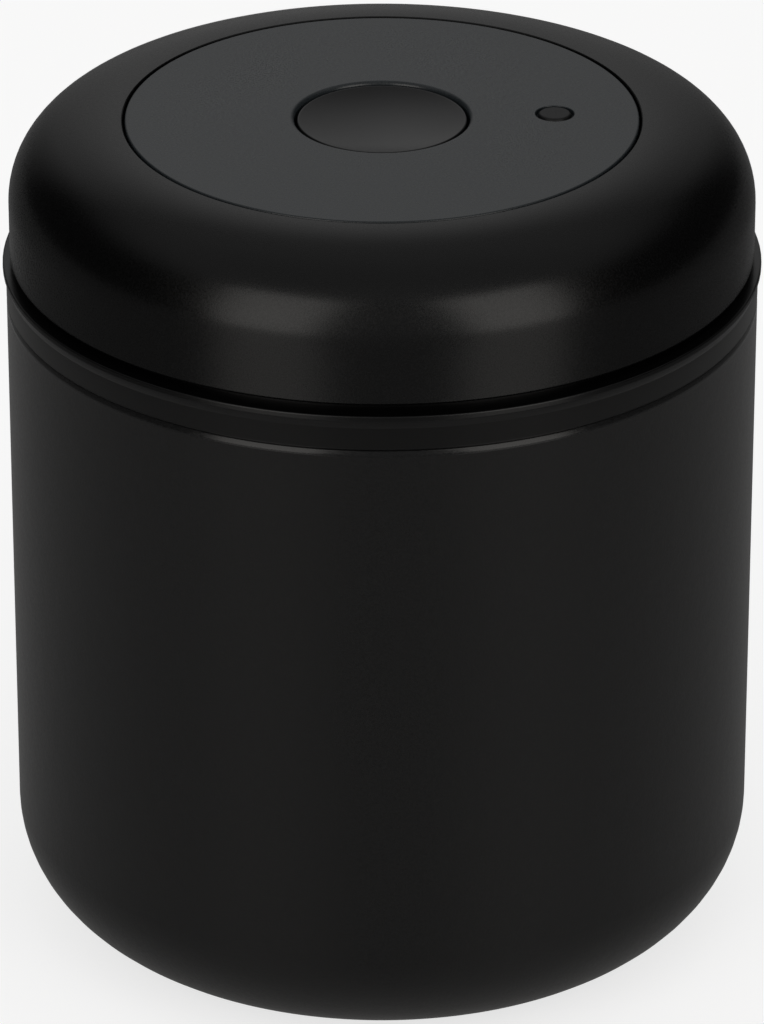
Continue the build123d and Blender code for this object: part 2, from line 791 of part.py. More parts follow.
def indicator_cup():
    """Cup pushed over the chamber, with the tube's nipple below it."""
    shape = turned(
        (0, cup_bottom),
        (cup_radius, cup_bottom),
        (cup_radius, chamber_bottom + cup_overlap),
        (chamber_radius + seat_gap, chamber_bottom + cup_overlap),
        (chamber_radius + seat_gap, cup_seat),
        (pin_foot_radius + running_gap, cup_seat),
        (pin_foot_radius + running_gap, cup_bottom + cup_floor),
        (0, cup_bottom + cup_floor),
    )
    shape += post(nipple_radius, cup_bottom - nipple_length, cup_bottom + cup_floor)
    shape -= post(nipple_bore, cup_bottom - nipple_length - overrun, cup_bottom + cup_floor + overrun)
    return Pos(indicator_circle, 0, 0) * shape


def indicator_diaphragm():
    """Thin disc clamped between the cup and the chamber."""
    return post(chamber_radius - seat_gap, cup_seat, chamber_bottom, indicator_circle)


def indicator_spring():
    """Small coil that holds the diaphragm and the dot up."""
    spring = coil_spring(
        indicator_spring_radius,
        indicator_spring_wire,
        cup_bottom + cup_floor,
        cup_seat,
        indicator_spring_turns,
    )
    return Pos(indicator_circle, 0, 0) * spring


def indicator_tube():
    """Straight soft tube from the plug floor's nipple to the cup's nipple."""
    bottom = floor_top
    top = cup_bottom
    return Pos(indicator_circle, 0, 0) * ring(nipple_radius + seat_gap, tube_radius, bottom, top)


nodes = (
    canister_body,
    lid_base,
    main_gasket,
    filter_cover,
    filter_pad,
    glide_ring,
    dome_cap,
    cam_ring,
    cam_screws,
    hub_frame,
    hub_screws,
    disc_carrier,
    carrier_screws,
    top_disc,
    pump_cylinder,
    cylinder_seal,
    pump_piston,
    piston_outer_seal,
    piston_inner_seal,
    piston_yoke,
    cam_pins,
    inlet_valve,
    exhaust_valve,
    valve_stem,
    valve_poppet,
    button_cap,
    button_spring,
    indicator_pin,
    indicator_sleeve,
    indicator_cup,
    indicator_diaphragm,
    indicator_spring,
    indicator_tube,
)

os.makedirs("parts", exist_ok=True)
for node in nodes:
    export_step(node(), f"parts/{node.__name__}.step")
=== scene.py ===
"""Looks of the coffee canister: a black steel body under a domed twist lid, on a plain white studio floor."""
import bmesh
import bpy
from math import cos, pi, radians, sin, sqrt, tan
from mathutils import Matrix, Vector


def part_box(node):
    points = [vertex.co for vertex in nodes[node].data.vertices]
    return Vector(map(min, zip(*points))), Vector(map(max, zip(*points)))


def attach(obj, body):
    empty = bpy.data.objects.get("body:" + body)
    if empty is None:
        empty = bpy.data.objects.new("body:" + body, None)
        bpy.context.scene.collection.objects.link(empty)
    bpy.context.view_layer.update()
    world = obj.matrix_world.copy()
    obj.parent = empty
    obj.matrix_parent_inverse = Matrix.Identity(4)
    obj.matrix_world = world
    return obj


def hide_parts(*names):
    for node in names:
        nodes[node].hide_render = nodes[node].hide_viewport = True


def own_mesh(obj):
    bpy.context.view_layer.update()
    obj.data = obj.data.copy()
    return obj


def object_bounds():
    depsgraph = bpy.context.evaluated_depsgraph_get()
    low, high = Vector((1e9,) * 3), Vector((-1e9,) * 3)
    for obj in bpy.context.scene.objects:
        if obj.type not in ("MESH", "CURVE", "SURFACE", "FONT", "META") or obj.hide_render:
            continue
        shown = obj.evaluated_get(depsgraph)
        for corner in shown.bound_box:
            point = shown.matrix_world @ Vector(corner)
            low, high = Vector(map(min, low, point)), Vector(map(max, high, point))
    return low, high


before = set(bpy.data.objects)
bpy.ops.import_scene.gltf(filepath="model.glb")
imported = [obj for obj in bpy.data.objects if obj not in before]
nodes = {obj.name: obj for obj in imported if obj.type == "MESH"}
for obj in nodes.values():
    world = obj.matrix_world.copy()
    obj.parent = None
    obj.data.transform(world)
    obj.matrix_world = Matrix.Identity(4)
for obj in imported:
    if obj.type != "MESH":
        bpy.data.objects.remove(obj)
cad_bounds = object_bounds()


# Camera
# A long lens at the photograph's angle: about 1.12 m away, 27 degrees above the horizon and turned so far
# that the indicator dot lies a little behind the button's middle. Lens and film are in millimetres.
camera_distance = 1.11725
camera_elevation = radians(26.61)
camera_turn = radians(-2.5)
look_at_height = 0.067756
lens_length = 243.98
film_width = 36
furthest_seen = 50

camera_data = bpy.data.cameras.new("camera")
camera_data.lens = lens_length
camera_data.sensor_width = film_width
camera_data.clip_end = furthest_seen
camera = bpy.data.objects.new("camera", camera_data)
bpy.context.scene.collection.objects.link(camera)
reach = camera_distance * cos(camera_elevation)
camera.location = (
    reach * sin(camera_turn),
    -reach * cos(camera_turn),
    look_at_height + camera_distance * sin(camera_elevation),
)
camera.rotation_euler = (Vector((0, 0, look_at_height)) - camera.location).to_track_quat("-Z", "Y").to_euler()
bpy.context.scene.camera = camera
bpy.context.scene.view_settings.view_transform = "Standard"


# Studio
# Two wide softboxes stand in front, left and right. For dull surfaces the room is evenly pale. Glossy ones
# see a satin grey floor, a pale ceiling and back wall, and black screens at the sides. A fade says where,
# along a direction's Y or Z, one part of that room gives way to the next.
white = (1, 1, 1, 1)
softbox_left_turn = radians(-34)
softbox_right_turn = radians(40)
softbox_rise = radians(22)
softbox_distance = 1.3
softbox_width = 0.72
softbox_height = 1.25
softbox_power = 3.35
softbox_warmth = (1.0, 0.97, 0.93)
floor_size = 6.0
floor_seen = (0.35, 0.35, 0.35, 1)
floor_glow = 0.72
floor_dull = (0.15, 0.15, 0.15, 1)
floor_satin_share = 0.36
floor_roughness = 0.25
room_level = 0.55
ceiling_level = 0.20
ceiling_fade = (0.5, 0.85)
back_level = 0.42
back_fade = (0.45, 0.9)
back_half_width = 0.63
back_foot_share = 0.6
back_foot_fade = (0, 0.65)
front_level = 0.16
front_fade = (-0.9, -0.5)
screen_level = 0.006


def node_tree(owner):
    """Empty node tree of a material or world."""
    owner.use_nodes = True
    owner.node_tree.nodes.clear()
    return owner.node_tree


def add_node(tree, kind, **values):
    """Node of a kind. A value goes to the input of that name, or else to the node's own setting."""
    node = tree.nodes.new(kind)
    for key, value in values.items():
        if key in node.inputs:
            node.inputs[key].default_value = value
        else:
            setattr(node, key, value)
    return node


def ramp(tree, source, low, high, start, end, smooth=False):
    """Output that goes from start to end while the source goes from low to high."""
    node = add_node(tree, "ShaderNodeMapRange")
    if smooth:
        node.interpolation_type = "SMOOTHSTEP"
    for name, value in (("From Min", low), ("From Max", high), ("To Min", start), ("To Max", end)):
        node.inputs[name].default_value = value
    tree.links.new(source, node.inputs["Value"])
    return node.outputs["Result"]


def combine(tree, operation, first, second=None):
    """Output of a math node on one or two outputs."""
    node = add_node(tree, "ShaderNodeMath", operation=operation)
    tree.links.new(first, node.inputs[0])
    if second is not None:
        tree.links.new(second, node.inputs[1])
    return node.outputs[0]


def axes(tree, space):
    """Node whose X, Y and Z outputs give a point's place in object space, or a direction's in the world."""
    place = add_node(tree, "ShaderNodeTexCoord")
    parts = add_node(tree, "ShaderNodeSeparateXYZ")
    tree.links.new(place.outputs[space], parts.inputs[0])
    return parts


def softbox(name, turn):
    """Wide rectangular lamp in front of the object, turned from the camera by an angle."""
    lamp = bpy.data.lights.new(name, "AREA")
    lamp.shape = "RECTANGLE"
    lamp.size = softbox_width
    lamp.size_y = softbox_height
    lamp.energy = softbox_power
    lamp.color = softbox_warmth
    box = bpy.data.objects.new(name, lamp)
    bpy.context.scene.collection.objects.link(box)
    level = softbox_distance * cos(softbox_rise)
    place = (
        level * sin(camera_turn + turn),
        -level * cos(camera_turn + turn),
        softbox_distance * sin(softbox_rise),
    )
    lid_top = Vector((0, 0, cad_bounds[1].z))
    box.location = lid_top + Vector(place)
    box.rotation_euler = (lid_top - box.location).to_track_quat("-Z", "Y").to_euler()
    box.visible_camera = False


softbox("softbox_left", softbox_left_turn)
softbox("softbox_right", softbox_right_turn)

world = bpy.data.worlds.new("studio")
bpy.context.scene.world = world
tree = node_tree(world)
direction = axes(tree, "Generated")
sideways = combine(tree, "ABSOLUTE", direction.outputs["X"])
middle = ramp(tree, sideways, 0, back_half_width, back_level, 0)
behind = ramp(tree, direction.outputs["Y"], *back_fade, 0, 1, smooth=True)
foot = ramp(tree, direction.outputs["Z"], *back_foot_fade, back_foot_share, 1, smooth=True)
back_wall = combine(tree, "MULTIPLY", combine(tree, "MULTIPLY", middle, behind), foot)
ceiling = ramp(tree, direction.outputs["Z"], *ceiling_fade, screen_level, ceiling_level, smooth=True)
front = ramp(tree, direction.outputs["Y"], *front_fade, front_level, 0, smooth=True)
mirrored = combine(tree, "MAXIMUM", combine(tree, "MAXIMUM", back_wall, ceiling), front)
path = add_node(tree, "ShaderNodeLightPath")
room = add_node(tree, "ShaderNodeMix", data_type="FLOAT")
room.inputs["A"].default_value = room_level
tree.links.new(path.outputs["Is Glossy Ray"], room.inputs["Factor"])
tree.links.new(mirrored, room.inputs["B"])
# The camera sees the room as plain white, and so does a ray that has passed through something clear.
strength = add_node(tree, "ShaderNodeMix", data_type="FLOAT")
strength.inputs["B"].default_value = 1
tree.links.new(
    combine(tree, "MAXIMUM", path.outputs["Is Camera Ray"], path.outputs["Is Transmission Ray"]),
    strength.inputs["Factor"],
)
tree.links.new(room.outputs["Result"], strength.inputs["A"])
background = add_node(tree, "ShaderNodeBackground", Color=white)
tree.links.new(strength.outputs["Result"], background.inputs["Strength"])
tree.links.new(background.outputs[0], add_node(tree, "ShaderNodeOutputWorld").inputs[0])

paper = bpy.data.materials.new("floor_paper")
tree = node_tree(paper)
seen = add_node(tree, "ShaderNodeAddShader")
tree.links.new(add_node(tree, "ShaderNodeBsdfDiffuse", Color=floor_seen).outputs[0], seen.inputs[0])
glow = add_node(tree, "ShaderNodeEmission", Color=white, Strength=floor_glow)
tree.links.new(glow.outputs[0], seen.inputs[1])
unseen = add_node(tree, "ShaderNodeMixShader")
unseen.inputs[0].default_value = floor_satin_share
tree.links.new(add_node(tree, "ShaderNodeBsdfDiffuse", Color=floor_dull).outputs[0], unseen.inputs[1])
satin = add_node(tree, "ShaderNodeBsdfGlossy", Color=white, Roughness=floor_roughness)
tree.links.new(satin.outputs[0], unseen.inputs[2])
either = add_node(tree, "ShaderNodeMixShader")
path = add_node(tree, "ShaderNodeLightPath")
tree.links.new(path.outputs["Is Camera Ray"], either.inputs[0])
tree.links.new(unseen.outputs[0], either.inputs[1])
tree.links.new(seen.outputs[0], either.inputs[2])
tree.links.new(either.outputs[0], add_node(tree, "ShaderNodeOutputMaterial").inputs[0])

floor_shape = bmesh.new()
bmesh.ops.create_grid(floor_shape, x_segments=2, y_segments=2, size=floor_size / 2)
floor_mesh = bpy.data.meshes.new("floor")
floor_shape.to_mesh(floor_mesh)
floor_shape.free()
floor_mesh.materials.append(paper)
floor = bpy.data.objects.new("floor", floor_mesh)
bpy.context.scene.collection.objects.link(floor)


# Canister body
# Deep-drawn steel tub with a wide lower corner, a recessed base and a rim that slopes in to its top. Outside
# it has a fine black powder coat, which turns in over the rim and is rubbed smooth there. Inside it is bare
# steel with a turned grain.
body_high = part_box("canister_body")[1]
body_radius = body_high.x
rim_height = body_high.z
body_wall = 0.0012
body_corner = 0.0188
rim_slope = 0.0008
rim_slope_inset = 0.0004
rim_slope_round = 0.001
rim_round = 0.0005
rim_inner_round = 0.00025
foot_width = 0.004
base_recess = 0.001
coat_dark = (0.0014, 0.0014, 0.0015, 1)
coat_pale = (0.0034, 0.0034, 0.0036, 1)
coat_gloss = {"Specular IOR Level": 0.32}
coat_sheen = {"Sheen Weight": 0.23, "Sheen Roughness": 0.47}
steel_metal_share = 0.5
noise_span = (0.3, 0.7)
spin_steps = 192
corner_steps = 16
guard = 0.00005
weld_distance = 0.000001
sharp_angle = radians(35)


def rounded(corners, steps=6):
    """Outline through (radius, height) corners. A third number rounds its corner by a short arc.

    A point a guard's length before and after each arc keeps the shading of the flats beside it flat.
    """
    points = []
    for place, corner in enumerate(corners):
        here = Vector(corner[:2])
        if len(corner) == 2:
            points.append(here)
            continue
        back = (Vector(corners[place - 1][:2]) - here).normalized()
        ahead = (Vector(corners[(place + 1) % len(corners)][:2]) - here).normalized()
        half = back.angle(ahead) / 2
        tangent = corner[2] / tan(half)
        centre = here + (back + ahead).normalized() * (corner[2] / sin(half))
        swing = (pi - 2 * half) * (1 if back.x * ahead.y < back.y * ahead.x else -1)
        points.append(here + back * (tangent + guard))
        for step in range(steps + 1):
            spoke = Matrix.Rotation(swing * step / steps, 2) @ (here + back * tangent - centre)
            points.append(centre + spoke)
        points.append(here + ahead * (tangent + guard))
    return points


def turned(outline, steps=spin_steps, closed=True):
    """Bmesh made by spinning an outline of (radius, height) points round Z. Edges on the axis stay out."""
    shape = bmesh.new()
    verts = [shape.verts.new((point[0], 0, point[1])) for point in outline]
    pairs = zip(verts, verts[1:] + verts[:1]) if closed else zip(verts, verts[1:])
    edges = [shape.edges.new(pair) for pair in pairs if max(pair[0].co.x, pair[1].co.x) > guard]
    bmesh.ops.spin(
        shape,
        geom=verts + edges,
        cent=(0, 0, 0),
        axis=(0, 0, 1),
        dvec=(0, 0, 0),
        angle=2 * pi,
        steps=steps,
        use_merge=True,
    )
    return shape


def finished(shape, name, materials):
    """Object from a bmesh, its doubles merged, and smooth but for its sharp edges."""
    bmesh.ops.remove_doubles(shape, verts=shape.verts, dist=weld_distance)
    bmesh.ops.recalc_face_normals(shape, faces=shape.faces)
    mesh = bpy.data.meshes.new(name)
    shape.to_mesh(mesh)
    shape.free()
    for material in materials:
        mesh.materials.append(material)
    mesh.shade_smooth()
    mesh.set_sharp_from_angle(angle=sharp_angle)
    piece = bpy.data.objects.new(name, mesh)
    bpy.context.scene.collection.objects.link(piece)
    return piece


def fitted(piece, body, slot, *replaced):
    """Makes a piece ride on its body and stand for CAD nodes. The slot is not used."""
    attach(piece, body)
    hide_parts(*replaced)


def surface(tree, **values):
    """Principled surface joined to the material's output."""
    shader = add_node(tree, "ShaderNodeBsdfPrincipled", **values)
    tree.links.new(shader.outputs[0], add_node(tree, "ShaderNodeOutputMaterial").inputs[0])
    return shader


def grain_noise(tree, size, detail=2):
    """Noise in object space whose grains are about a size in metres. Most of it lies in noise_span."""
    place = add_node(tree, "ShaderNodeTexCoord")
    noise = add_node(tree, "ShaderNodeTexNoise", Scale=1 / size, Detail=detail)
    tree.links.new(place.outputs["Object"], noise.inputs["Vector"])
    return noise.outputs["Fac"]


def relief(tree, shader, *layers):
    """Bump of one or more (height output, depth in metres) layers on a shader."""
    below = None
    for height, depth in layers:
        bump = add_node(tree, "ShaderNodeBump", Distance=depth)
        tree.links.new(height, bump.inputs["Height"])
        if below:
            tree.links.new(below.outputs["Normal"], bump.inputs["Normal"])
        below = bump
    tree.links.new(below.outputs["Normal"], shader.inputs["Normal"])


def grained(name, dark, pale, grain, depth, roughness=None, cloud=None, **values):
    """Moulded, sprayed or plated surface with a fine grain in its colour, gloss and relief.

    grain is the grain's size in metres, depth that of the relief, and roughness a (least, most) pair, or none
    where something else drives it. cloud is an optional (size, depth) of a longer, shallow unevenness. Other
    values go to the shader's sockets.
    """
    material = bpy.data.materials.new(name)
    tree = node_tree(material)
    shader = surface(tree, **values)
    fine = grain_noise(tree, grain)
    # A mix node's two colours are its inputs 6 and 7, and their mix is its output 2.
    tint = add_node(tree, "ShaderNodeMix", data_type="RGBA")
    tint.inputs[6].default_value = dark
    tint.inputs[7].default_value = pale
    tree.links.new(ramp(tree, fine, *noise_span, 0, 1), tint.inputs["Factor"])
    tree.links.new(tint.outputs[2], shader.inputs["Base Color"])
    if roughness:
        tree.links.new(ramp(tree, fine, *noise_span, *roughness), shader.inputs["Roughness"])
    layers = [(fine, depth)]
    if cloud:
        cloud_size, cloud_depth = cloud
        layers.insert(0, (grain_noise(tree, cloud_size, detail=1), cloud_depth))
    relief(tree, shader, *layers)
    return material


def turned_steel(name, colour, pitch, depth, roughness):
    """Bare steel whose grain runs in rings round Z, as spinning and polishing leave it."""
    material = bpy.data.materials.new(name)
    tree = node_tree(material)
    shader = surface(tree, Metallic=steel_metal_share)
    shader.inputs["Base Color"].default_value = colour
    place = axes(tree, "Object")
    flat = add_node(tree, "ShaderNodeCombineXYZ")
    tree.links.new(place.outputs["X"], flat.inputs["X"])
    tree.links.new(place.outputs["Y"], flat.inputs["Y"])
    radius = add_node(tree, "ShaderNodeVectorMath", operation="LENGTH")
    tree.links.new(flat.outputs[0], radius.inputs[0])
    along = combine(tree, "ADD", radius.outputs["Value"], place.outputs["Z"])
    rings = add_node(
        tree, "ShaderNodeTexNoise", noise_dimensions="1D", Scale=1 / pitch, Detail=4, Roughness=0.7
    )
    tree.links.new(along, rings.inputs["W"])
    tree.links.new(ramp(tree, rings.outputs["Fac"], *noise_span, *roughness), shader.inputs["Roughness"])
    relief(tree, shader, (rings.outputs["Fac"], depth))
    return material


powder_coat = grained(
    "powder_coat",
    dark=coat_dark,
    pale=coat_pale,
    grain=0.00045,
    depth=0.000018,
    roughness=(0.46, 0.58),
    cloud=(0.0024, 0.00003),
    **coat_gloss,
    **coat_sheen,
)
rubbed_coat = grained(
    "rubbed_coat",
    dark=coat_dark,
    pale=coat_pale,
    grain=0.0004,
    depth=0.000003,
    roughness=(0.16, 0.24),
    **coat_sheen,
)
bare_steel = turned_steel(
    "bare_steel",
    colour=(0.56, 0.55, 0.53, 1),
    pitch=0.0006,
    depth=0.00001,
    roughness=(0.24, 0.38),
)
recess_radius = body_radius - body_corner - foot_width
body_shape = turned(
    rounded(
        [
            (0, base_recess),
            (recess_radius, base_recess),
            (recess_radius, 0),
            (body_radius, 0, body_corner),
            (body_radius, rim_height - rim_slope, rim_slope_round),
            (body_radius - rim_slope_inset, rim_height, rim_round),
            (body_radius - body_wall, rim_height, rim_inner_round),
            (body_radius - body_wall, body_wall, body_corner - body_wall),
            (recess_radius + body_wall, body_wall),
            (recess_radius + body_wall, base_recess + body_wall),
            (0, base_recess + body_wall),
        ],
        steps=corner_steps,
    )
)
body_finishes = [powder_coat, bare_steel, rubbed_coat]
body_piece = finished(body_shape, "canister_tub", body_finishes)
for face in body_piece.data.polygons:
    outwards = face.normal.x * face.center.x + face.normal.y * face.center.y
    faces_up = face.normal.z > 0 and face.center.z < rim_height - body_wall
    faces_in = outwards < 0 and body_wall < face.center.z < rim_height - body_wall
    at_rim = face.center.z > rim_height - rim_slope - rim_round
    finish = bare_steel if faces_up or faces_in else rubbed_coat if at_rim else powder_coat
    face.material_index = body_finishes.index(finish)
fitted(body_piece, "canister", "coated_steel", "canister_body")


# Lid base
# One black moulding: the plug in the canister's mouth, the band with its small lip, and the dark neck that
# the dome turns on. Only the band is textured, from the groove over the rim to the lip's slope. The piece
# keeps the shape of its CAD node.
lid_dark = (0.0005, 0.0005, 0.0005, 1)
lid_pale = (0.0011, 0.0011, 0.0012, 1)
texture_bottom = rim_height + 0.0002
texture_bottom_fade = 0.0003
texture_top = rim_height + 0.0038
texture_top_fade = 0.0012
smooth_finish = {"Roughness": 0.26, "Specular IOR Level": 0.5, "Sheen Weight": 0}
textured_finish = {"Roughness": 0.5, "Specular IOR Level": 0.25, "Sheen Weight": 0.18}
band_sheen = {"Sheen Roughness": 0.47}


def clad(material, *names):
    """Gives CAD nodes a material."""
    for name in names:
        nodes[name].data.materials.clear()
        nodes[name].data.materials.append(material)


base_plastic = grained(
    "base_plastic", dark=lid_dark, pale=lid_pale, grain=0.0003, depth=0.000012, **band_sheen
)
tree = base_plastic.node_tree
shader = tree.nodes["Principled BSDF"]
height = axes(tree, "Object").outputs["Z"]
textured = combine(
    tree,
    "MULTIPLY",
    ramp(tree, height, texture_bottom, texture_bottom + texture_bottom_fade, 0, 1),
    ramp(tree, height, texture_top, texture_top + texture_top_fade, 1, 0),
)
for socket, smooth_value in smooth_finish.items():
    value = ramp(tree, textured, 0, 1, smooth_value, textured_finish[socket])
    tree.links.new(value, shader.inputs[socket])
clad(base_plastic, "lid_base")


# Dome
# Turning cap of the lid, an injection moulding 2 mm thick. Its shoulder is two tangent arcs that end level
# at the disc. Inside it has a collar with a ledge, and bosses for the screws of the cam ring.
dome_low, dome_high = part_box("dome_cap")
dome_radius = dome_high.x
dome_top = dome_high.z
dome_wall = 0.002
dome_edge_round = 0.0006
opening_round = 0.00015
dome_opening = 0.0407
dome_side = 0.0088
shoulder_rise = 0.0133
shoulder_turn = radians(68)
collar_wall = 0.002
ledge_reach = 0.0034
ledge_top = 0.1318
ledge_thickness = 0.0019
dome_boss_radius = 0.003
dome_boss_bore = 0.00115
dome_boss_depth = 0.0086
dome_boss_circle = 0.04885
dome_boss_bottom = dome_low.z
screw_angles = (0, 120, 240)
arc_steps = 14
boss_steps = 24

dome_bottom = dome_top - shoulder_rise - dome_side
shoulder_width = dome_radius - dome_opening
run = cos(shoulder_turn)
rise = sin(shoulder_turn)
lower_arc = (shoulder_width * (1 - rise) - shoulder_rise * run) / (1 - rise - run)
upper_arc = (shoulder_rise * (1 - run) - shoulder_width * rise) / (1 - rise - run)
lower_centre = Vector((dome_radius - lower_arc, dome_top - shoulder_rise))
upper_centre = lower_centre + Vector((run, rise)) * (lower_arc - upper_arc)


def height_on_arc(centre, arc, radius):
    """Height of an arc's upper side at a radius."""
    return centre.y + sqrt(arc**2 - (radius - centre.x) ** 2)


def middle_of_wall(radius):
    """Height in the middle of the shoulder's wall at a radius."""
    if radius > lower_centre.x + run * lower_arc:
        return height_on_arc(lower_centre, lower_arc - dome_wall / 2, radius)
    return height_on_arc(upper_centre, upper_arc - dome_wall / 2, radius)


def shoulder(inset, end_radius):
    """Points of the shoulder from its side up to a radius, drawn in by an inset."""
    points = []
    for step in range(arc_steps + 1):
        angle = shoulder_turn * step / arc_steps
        points.append(lower_centre + Vector((cos(angle), sin(angle))) * (lower_arc - inset))
    for step in range(1, arc_steps + 1):
        angle = shoulder_turn + (pi / 2 - shoulder_turn) * step / arc_steps
        point = upper_centre + Vector((cos(angle), sin(angle))) * (upper_arc - inset)
        if point.x > end_radius + guard:
            points.append(point)
    return points + [Vector((end_radius, height_on_arc(upper_centre, upper_arc - inset, end_radius)))]


def joined(shape, other, placing):
    """Adds another bmesh, moved by a matrix, to a bmesh."""
    bmesh.ops.transform(other, matrix=placing, verts=other.verts)
    mesh = bpy.data.meshes.new("passing")
    other.to_mesh(mesh)
    other.free()
    shape.from_mesh(mesh)
    bpy.data.meshes.remove(mesh)


ledge = [
    Vector((dome_opening + collar_wall, ledge_top - ledge_thickness)),
    Vector((dome_opening - ledge_reach, ledge_top - ledge_thickness)),
    Vector((dome_opening - ledge_reach, ledge_top)),
    Vector((dome_opening, ledge_top)),
    Vector((dome_opening, dome_top - opening_round)),
]
lower_edge = rounded(
    [
        (dome_radius, dome_top - shoulder_rise),
        (dome_radius, dome_bottom, dome_edge_round),
        (dome_radius - dome_wall, dome_bottom, dome_edge_round / 2),
        (dome_radius - dome_wall, dome_top - shoulder_rise),
    ]
)
outer_skin = shoulder(0, dome_opening + opening_round)
inner_skin = shoulder(dome_wall, dome_opening + collar_wall)
dome_shape = turned(ledge + outer_skin[::-1] + lower_edge[1:-1] + inner_skin)
for angle in screw_angles:
    boss = turned(
        [
            (dome_boss_bore, dome_boss_bottom),
            (dome_boss_radius, dome_boss_bottom),
            (dome_boss_radius, dome_top),
            (0, dome_top),
            (0, dome_boss_bottom + dome_boss_depth),
            (dome_boss_bore, dome_boss_bottom + dome_boss_depth),
        ],
        steps=boss_steps,
    )
    bmesh.ops.transform(boss, matrix=Matrix.Translation((dome_boss_circle, 0, 0)), verts=boss.verts)
    for vert in boss.verts:
        if vert.co.z > dome_top - guard:
            vert.co.z = middle_of_wall(vert.co.xy.length)
    joined(dome_shape, boss, Matrix.Rotation(radians(angle), 4, "Z"))
lid_plastic = grained(
    "lid_plastic", dark=lid_dark, pale=lid_pale, grain=0.0003, depth=0.000007, roughness=(0.22, 0.31)
)
dome_piece = finished(dome_shape, "dome_shell", [lid_plastic])
fitted(dome_piece, "dome", "lid_plastic", "dome_cap")


# Top disc
# Flat grey disc, moulded and bare, that lies still in the dome's opening. Its edges are softly rounded. It
# has a hole for the button and one for the indicator dot, with the sleeve's seat under a thin lip, and three
# pegs underneath.
disc_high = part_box("top_disc")[1]
disc_radius = disc_high.x
disc_top = disc_high.z
disc_thickness = 0.0025
disc_round = 0.0003
button_hole = 0.01375
button_hole_round = 0.00065
dot_circle = 0.0271
dot_hole = 0.00305
dot_hole_round = 0.00015
sleeve_seat = 0.00405
sleeve_seat_depth = 0.0008
sleeve_lip_radius = 0.0027
sleeve_lip_thickness = 0.0001
peg_radius = 0.0015
peg_circle = 0.02475
peg_length = 0.0017
peg_angles = (60, 180, 300)
dot_steps = 64
disc_dark = (0.0112, 0.0140, 0.0160, 1)
disc_pale = (0.0156, 0.0188, 0.0210, 1)
disc_gloss = {"Specular IOR Level": 0.66}

disc_bottom = disc_top - disc_thickness
disc_face_radius = disc_radius - disc_round - 2 * guard
button_mouth = button_hole + button_hole_round + 2 * guard
dot_mouth = dot_hole + dot_hole_round + 2 * guard
sleeve_seat_top = disc_top - sleeve_seat_depth
at_dot = Matrix.Translation((dot_circle, 0, 0))


def level_face(shape, height, circles):
    """Level face with holes, bounded by circles of (radius, steps, x, y), each as a spin would place it."""
    edges = []
    for radius, steps, x, y in circles:
        verts = []
        for step in range(steps):
            angle = 2 * pi * step / steps
            verts.append(shape.verts.new((x + radius * cos(angle), y + radius * sin(angle), height)))
        edges += [shape.edges.new(pair) for pair in zip(verts, verts[1:] + verts[:1])]
    bmesh.ops.triangle_fill(shape, use_beauty=True, use_dissolve=False, edges=edges)


disc_shape = turned(
    rounded([(disc_radius, disc_bottom), (disc_radius, disc_top, disc_round), (disc_face_radius, disc_top)]),
    closed=False,
)
button_hole_shape = turned(
    rounded(
        [(button_hole, disc_bottom), (button_hole, disc_top, button_hole_round), (button_mouth, disc_top)]
    ),
    closed=False,
)
joined(disc_shape, button_hole_shape, Matrix.Identity(4))
dot_hole_shape = turned(
    rounded(
        [
            (sleeve_seat, disc_bottom),
            (sleeve_seat, sleeve_seat_top),
            (sleeve_lip_radius, sleeve_seat_top),
            (sleeve_lip_radius, sleeve_seat_top + sleeve_lip_thickness),
            (dot_hole, sleeve_seat_top + sleeve_lip_thickness),
            (dot_hole, disc_top, dot_hole_round),
            (dot_mouth, disc_top),
        ]
    ),
    steps=dot_steps,
    closed=False,
)
joined(disc_shape, dot_hole_shape, at_dot)
level_face(
    disc_shape,
    disc_top,
    [
        (disc_face_radius, spin_steps, 0, 0),
        (button_mouth, spin_steps, 0, 0),
        (dot_mouth, dot_steps, dot_circle, 0),
    ],
)
level_face(
    disc_shape,
    disc_bottom,
    [
        (disc_radius, spin_steps, 0, 0),
        (button_hole, spin_steps, 0, 0),
        (sleeve_seat, dot_steps, dot_circle, 0),
    ],
)
for angle in peg_angles:
    peg = turned(
        rounded(
            [
                (0, disc_bottom - peg_length),
                (peg_radius, disc_bottom - peg_length, disc_round),
                (peg_radius, disc_bottom + disc_round),
                (0, disc_bottom + disc_round),
            ]
        ),
        steps=boss_steps,
    )
    joined(disc_shape, peg, Matrix.Rotation(radians(angle), 4, "Z") @ Matrix.Translation((peg_circle, 0, 0)))
disc_plastic = grained(
    "disc_plastic",
    dark=disc_dark,
    pale=disc_pale,
    grain=0.00022,
    depth=0.000005,
    roughness=(0.24, 0.32),
    **disc_gloss,
)
disc_piece = finished(disc_shape, "face_disc", [disc_plastic])
fitted(disc_piece, "lid", "disc_plastic", "top_disc")


# Button
# Round push button over the release valve, moulded with a shallow dish that meets its side in a soft edge.
# A skirt guides it in its well, and a boss underneath holds the stem's neck.
button_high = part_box("button_cap")[1]
button_radius = button_high.x
button_top = button_high.z
button_skirt = 0.0082
button_wall = 0.00135
button_crown = 0.0015
button_dish = 0.0016
button_round = 0.0003
boss_bore = 0.00205
boss_radius = 0.0042
boss_length = 0.0027
dish_steps = 12
button_dark = (0.0012, 0.0012, 0.0013, 1)
button_pale = (0.0024, 0.0024, 0.0026, 1)

